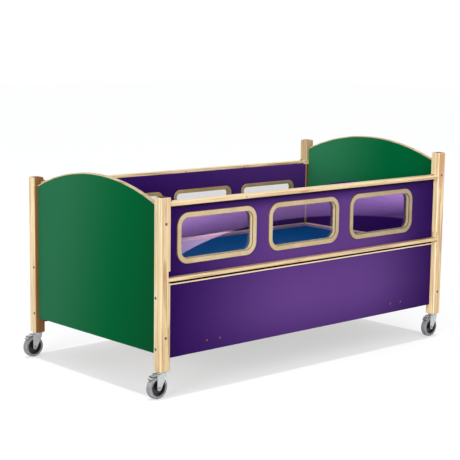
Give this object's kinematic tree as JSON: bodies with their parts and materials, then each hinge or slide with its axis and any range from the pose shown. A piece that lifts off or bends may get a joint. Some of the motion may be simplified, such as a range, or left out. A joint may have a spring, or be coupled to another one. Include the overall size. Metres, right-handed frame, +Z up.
{
  "type": "hospital cot",
  "caption": "Wooden cot on braked castors with arched end panels, glazed fold-down sides with sliding latches, a slatted base and a mattress.",
  "frame": {"origin": "on the floor under the middle of the cot's overall box", "axes": "+X towards the taller head end, +Y towards the back side, +Z up"},
  "size_m": [2.0775, 1.074, 1.086],
  "materials": {
    "light_wood": "clear satin lacquer on pale beech",
    "slat_wood": "bare sanded wood",
    "green_laminate": "coloured satin laminate",
    "purple_laminate": "coloured satin laminate",
    "ring_moulding": "satin moulded plastic",
    "clear_acrylic": "clear polished sheet",
    "zinc_steel": "bright zinc plating",
    "castor_zinc": "bright zinc-plated pressing",
    "brass": "plain brass",
    "black_plastic": "moulded, slightly textured",
    "grey_tyre": "soft grey tread",
    "mattress_cover": "wipe-clean coated fabric"
  },
  "bodies": {
    "frame": {"post_foot_front": "light_wood", "post_foot_back": "light_wood", "post_head_front": "light_wood", "post_head_back": "light_wood", "foot_panel": "green_laminate", "foot_panel_edging": "light_wood", "foot_liner": "purple_laminate", "head_panel": "green_laminate", "head_panel_edging": "light_wood", "head_liner": "purple_laminate", "base_end_boards": "purple_laminate", "base_edgings": "light_wood", "lower_panel_front": "purple_laminate", "lower_panel_back": "purple_laminate", "fold_pins": "zinc_steel", "rail_stops": "light_wood", "frame_bolts": "zinc_steel", "cross_bar_screws": "brass", "slats": "slat_wood", "slat_bearers": "slat_wood", "cross_bars": "slat_wood", "mattress": "mattress_cover", "castor_stems": "zinc_steel"},
    "side_front": {"upper_panel_front": "purple_laminate", "top_rail_front": "light_wood", "lower_rail_front": "light_wood", "window_rings_front": "ring_moulding", "window_beads_front": "ring_moulding", "window_panes_front": "clear_acrylic"},
    "side_back": {"upper_panel_back": "purple_laminate", "top_rail_back": "light_wood", "lower_rail_back": "light_wood", "window_rings_back": "ring_moulding", "window_beads_back": "ring_moulding", "window_panes_back": "clear_acrylic"},
    "latch_bolt_foot_front": {"latch_foot_front": "zinc_steel"},
    "castor_foot_front": {"castor_fork_foot_front": "castor_zinc", "castor_axle_foot_front": "zinc_steel"},
    "wheel_foot_front": {"castor_wheel_foot_front": "black_plastic", "castor_tyre_foot_front": "grey_tyre"},
    "pedal_foot_front": {"castor_pedal_foot_front": "castor_zinc"},
    "latch_bolt_foot_back": {"latch_foot_back": "zinc_steel"},
    "castor_foot_back": {"castor_fork_foot_back": "castor_zinc", "castor_axle_foot_back": "zinc_steel"},
    "wheel_foot_back": {"castor_wheel_foot_back": "black_plastic", "castor_tyre_foot_back": "grey_tyre"},
    "pedal_foot_back": {"castor_pedal_foot_back": "castor_zinc"},
    "latch_bolt_head_front": {"latch_head_front": "zinc_steel"},
    "castor_head_front": {"castor_fork_head_front": "castor_zinc", "castor_axle_head_front": "zinc_steel"},
    "wheel_head_front": {"castor_wheel_head_front": "black_plastic", "castor_tyre_head_front": "grey_tyre"},
    "pedal_head_front": {"castor_pedal_head_front": "castor_zinc"},
    "latch_bolt_head_back": {"latch_head_back": "zinc_steel"},
    "castor_head_back": {"castor_fork_head_back": "castor_zinc", "castor_axle_head_back": "zinc_steel"},
    "wheel_head_back": {"castor_wheel_head_back": "black_plastic", "castor_tyre_head_back": "grey_tyre"},
    "pedal_head_back": {"castor_pedal_head_back": "castor_zinc"}
  },
  "joints": [
    {"name": "side_front_fold", "type": "hinge", "parent": "frame", "child": "side_front", "pos_m": [0.02575, -0.523, 0.5505], "axis": [1, 0, 0], "range_deg": [0, 180]},
    {"name": "side_back_fold", "type": "hinge", "parent": "frame", "child": "side_back", "pos_m": [0.02575, 0.523, 0.5505], "axis": [-1, 0, 0], "range_deg": [0, 180]},
    {"name": "latch_foot_front_slide", "type": "slide", "parent": "side_front", "child": "latch_bolt_foot_front", "axis": [1, 0, 0], "range_m": [0, 0.012], "stiffness_N_per_m": 300, "springref_m": -0.01},
    {"name": "latch_foot_back_slide", "type": "slide", "parent": "side_back", "child": "latch_bolt_foot_back", "axis": [1, 0, 0], "range_m": [0, 0.012], "stiffness_N_per_m": 300, "springref_m": -0.01},
    {"name": "latch_head_front_slide", "type": "slide", "parent": "side_front", "child": "latch_bolt_head_front", "axis": [-1, 0, 0], "range_m": [0, 0.012], "stiffness_N_per_m": 300, "springref_m": -0.01},
    {"name": "latch_head_back_slide", "type": "slide", "parent": "side_back", "child": "latch_bolt_head_back", "axis": [-1, 0, 0], "range_m": [0, 0.012], "stiffness_N_per_m": 300, "springref_m": -0.01},
    {"name": "castor_foot_front_swivel", "type": "hinge", "parent": "frame", "child": "castor_foot_front", "pos_m": [-0.95675, -0.5065, 0.116], "axis": [0, 0, 1], "continuous": true},
    {"name": "wheel_foot_front_roll", "type": "hinge", "parent": "castor_foot_front", "child": "wheel_foot_front", "pos_m": [-0.98575, -0.5065, 0.053], "axis": [0, 1, 0], "continuous": true},
    {"name": "pedal_foot_front_press", "type": "hinge", "parent": "castor_foot_front", "child": "pedal_foot_front", "pos_m": [-0.99275, -0.5065, 0.11098], "axis": [0, -1, 0], "range_deg": [0, 6]},
    {"name": "castor_foot_back_swivel", "type": "hinge", "parent": "frame", "child": "castor_foot_back", "pos_m": [-0.95675, 0.5065, 0.116], "axis": [0, 0, 1], "continuous": true},
    {"name": "wheel_foot_back_roll", "type": "hinge", "parent": "castor_foot_back", "child": "wheel_foot_back", "pos_m": [-0.98575, 0.5065, 0.053], "axis": [0, 1, 0], "continuous": true},
    {"name": "pedal_foot_back_press", "type": "hinge", "parent": "castor_foot_back", "child": "pedal_foot_back", "pos_m": [-0.99275, 0.5065, 0.11098], "axis": [0, -1, 0], "range_deg": [0, 6]},
    {"name": "castor_head_front_swivel", "type": "hinge", "parent": "frame", "child": "castor_head_front", "pos_m": [1.00825, -0.5065, 0.116], "axis": [0, 0, 1], "continuous": true},
    {"name": "wheel_head_front_roll", "type": "hinge", "parent": "castor_head_front", "child": "wheel_head_front", "pos_m": [0.97925, -0.5065, 0.053], "axis": [0, 1, 0], "continuous": true},
    {"name": "pedal_head_front_press", "type": "hinge", "parent": "castor_head_front", "child": "pedal_head_front", "pos_m": [0.97225, -0.5065, 0.11098], "axis": [0, -1, 0], "range_deg": [0, 6]},
    {"name": "castor_head_back_swivel", "type": "hinge", "parent": "frame", "child": "castor_head_back", "pos_m": [1.00825, 0.5065, 0.116], "axis": [0, 0, 1], "continuous": true},
    {"name": "wheel_head_back_roll", "type": "hinge", "parent": "castor_head_back", "child": "wheel_head_back", "pos_m": [0.97925, 0.5065, 0.053], "axis": [0, 1, 0], "continuous": true},
    {"name": "pedal_head_back_press", "type": "hinge", "parent": "castor_head_back", "child": "pedal_head_back", "pos_m": [0.97225, 0.5065, 0.11098], "axis": [0, -1, 0], "range_deg": [0, 6]}
  ]
}
